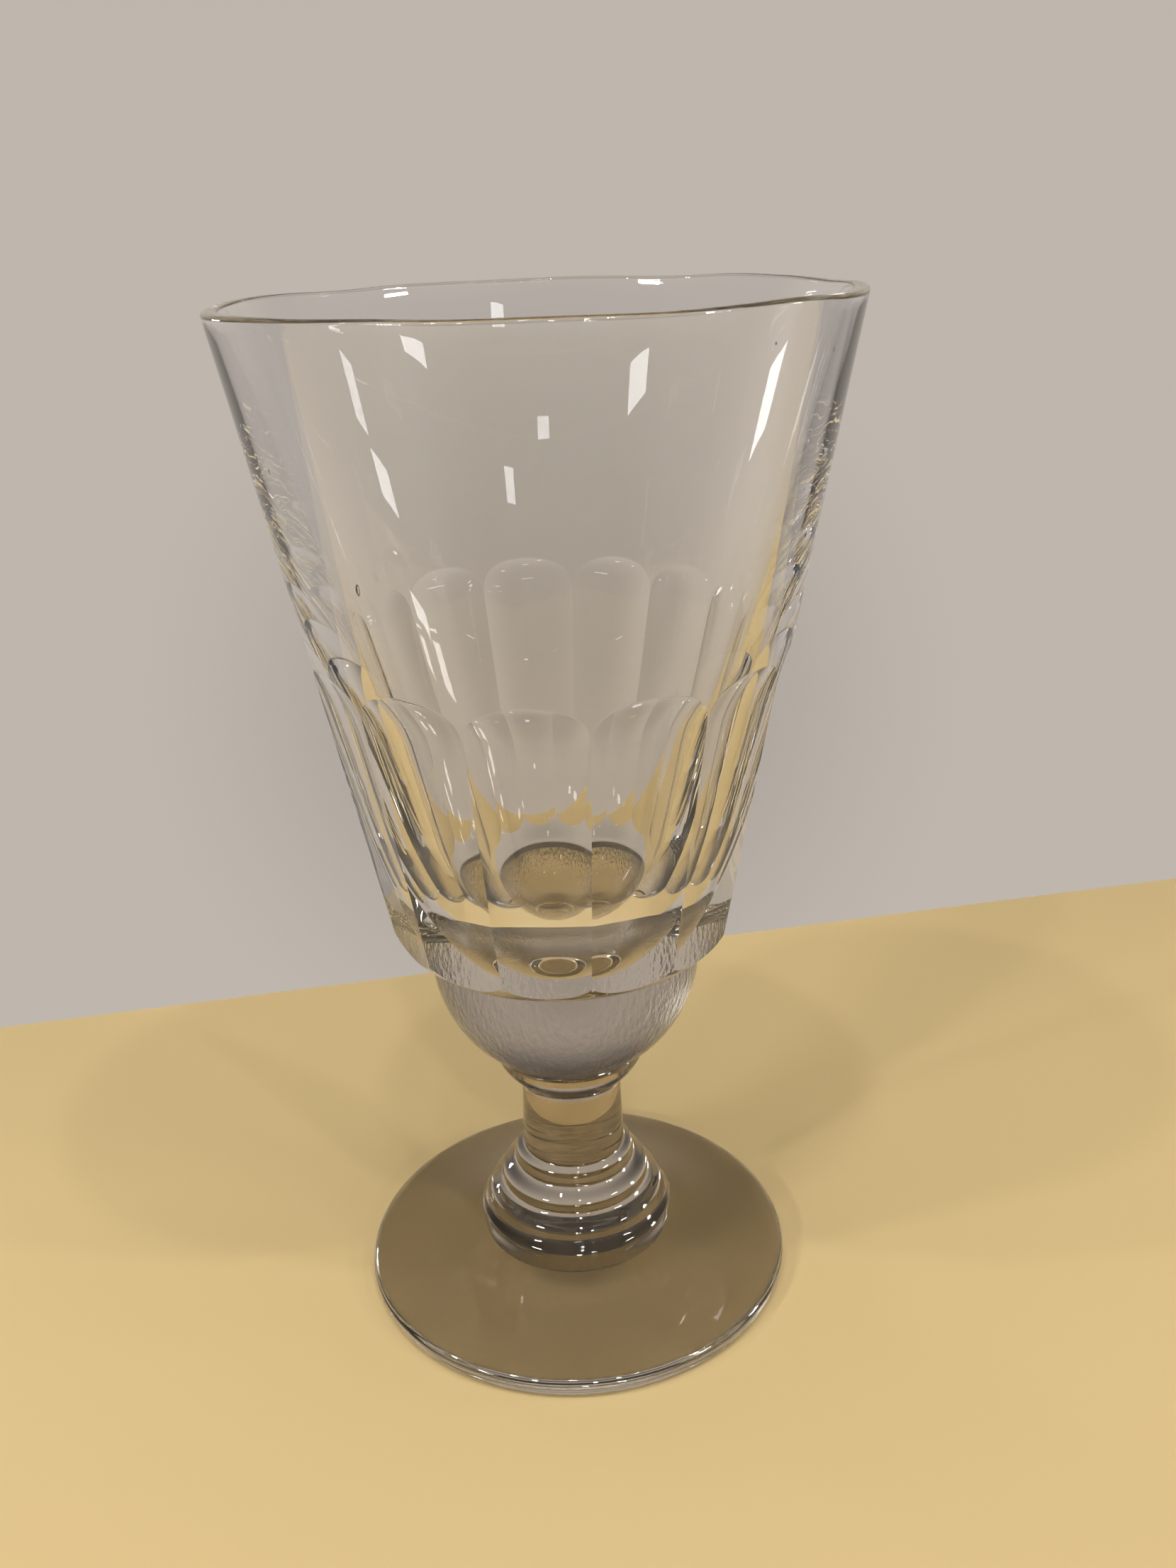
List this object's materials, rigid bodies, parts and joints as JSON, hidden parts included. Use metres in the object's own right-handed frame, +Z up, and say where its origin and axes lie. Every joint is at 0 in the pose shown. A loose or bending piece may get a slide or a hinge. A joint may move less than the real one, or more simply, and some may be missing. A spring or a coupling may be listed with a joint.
{
  "type": "wine glass",
  "caption": "Clear glass goblet: tapering bowl cut with flat arched panels, solid round knop, collar, short stem with ringed bell shoulder, disc foot.",
  "frame": {"origin": "centre of the foot's flat underside, on the surface that the glass stands on", "axes": "+Z up along the glass's axis, -Y towards the viewer, through one ridge between two panels"},
  "size_m": [0.0916, 0.0916, 0.165],
  "materials": {
    "bowl_glass": "clear, fire polished rim, cut and polished panels",
    "knop_glass": "clear, solid, polished",
    "stem_glass": "clear, solid, fire polished",
    "foot_glass": "clear, worn underneath where it rests"
  },
  "bodies": {
    "root": {"bowl": "bowl_glass", "knop": "knop_glass", "merese": "stem_glass", "stem": "stem_glass", "shoulder": "stem_glass", "foot": "foot_glass"}
  },
  "joints": []
}
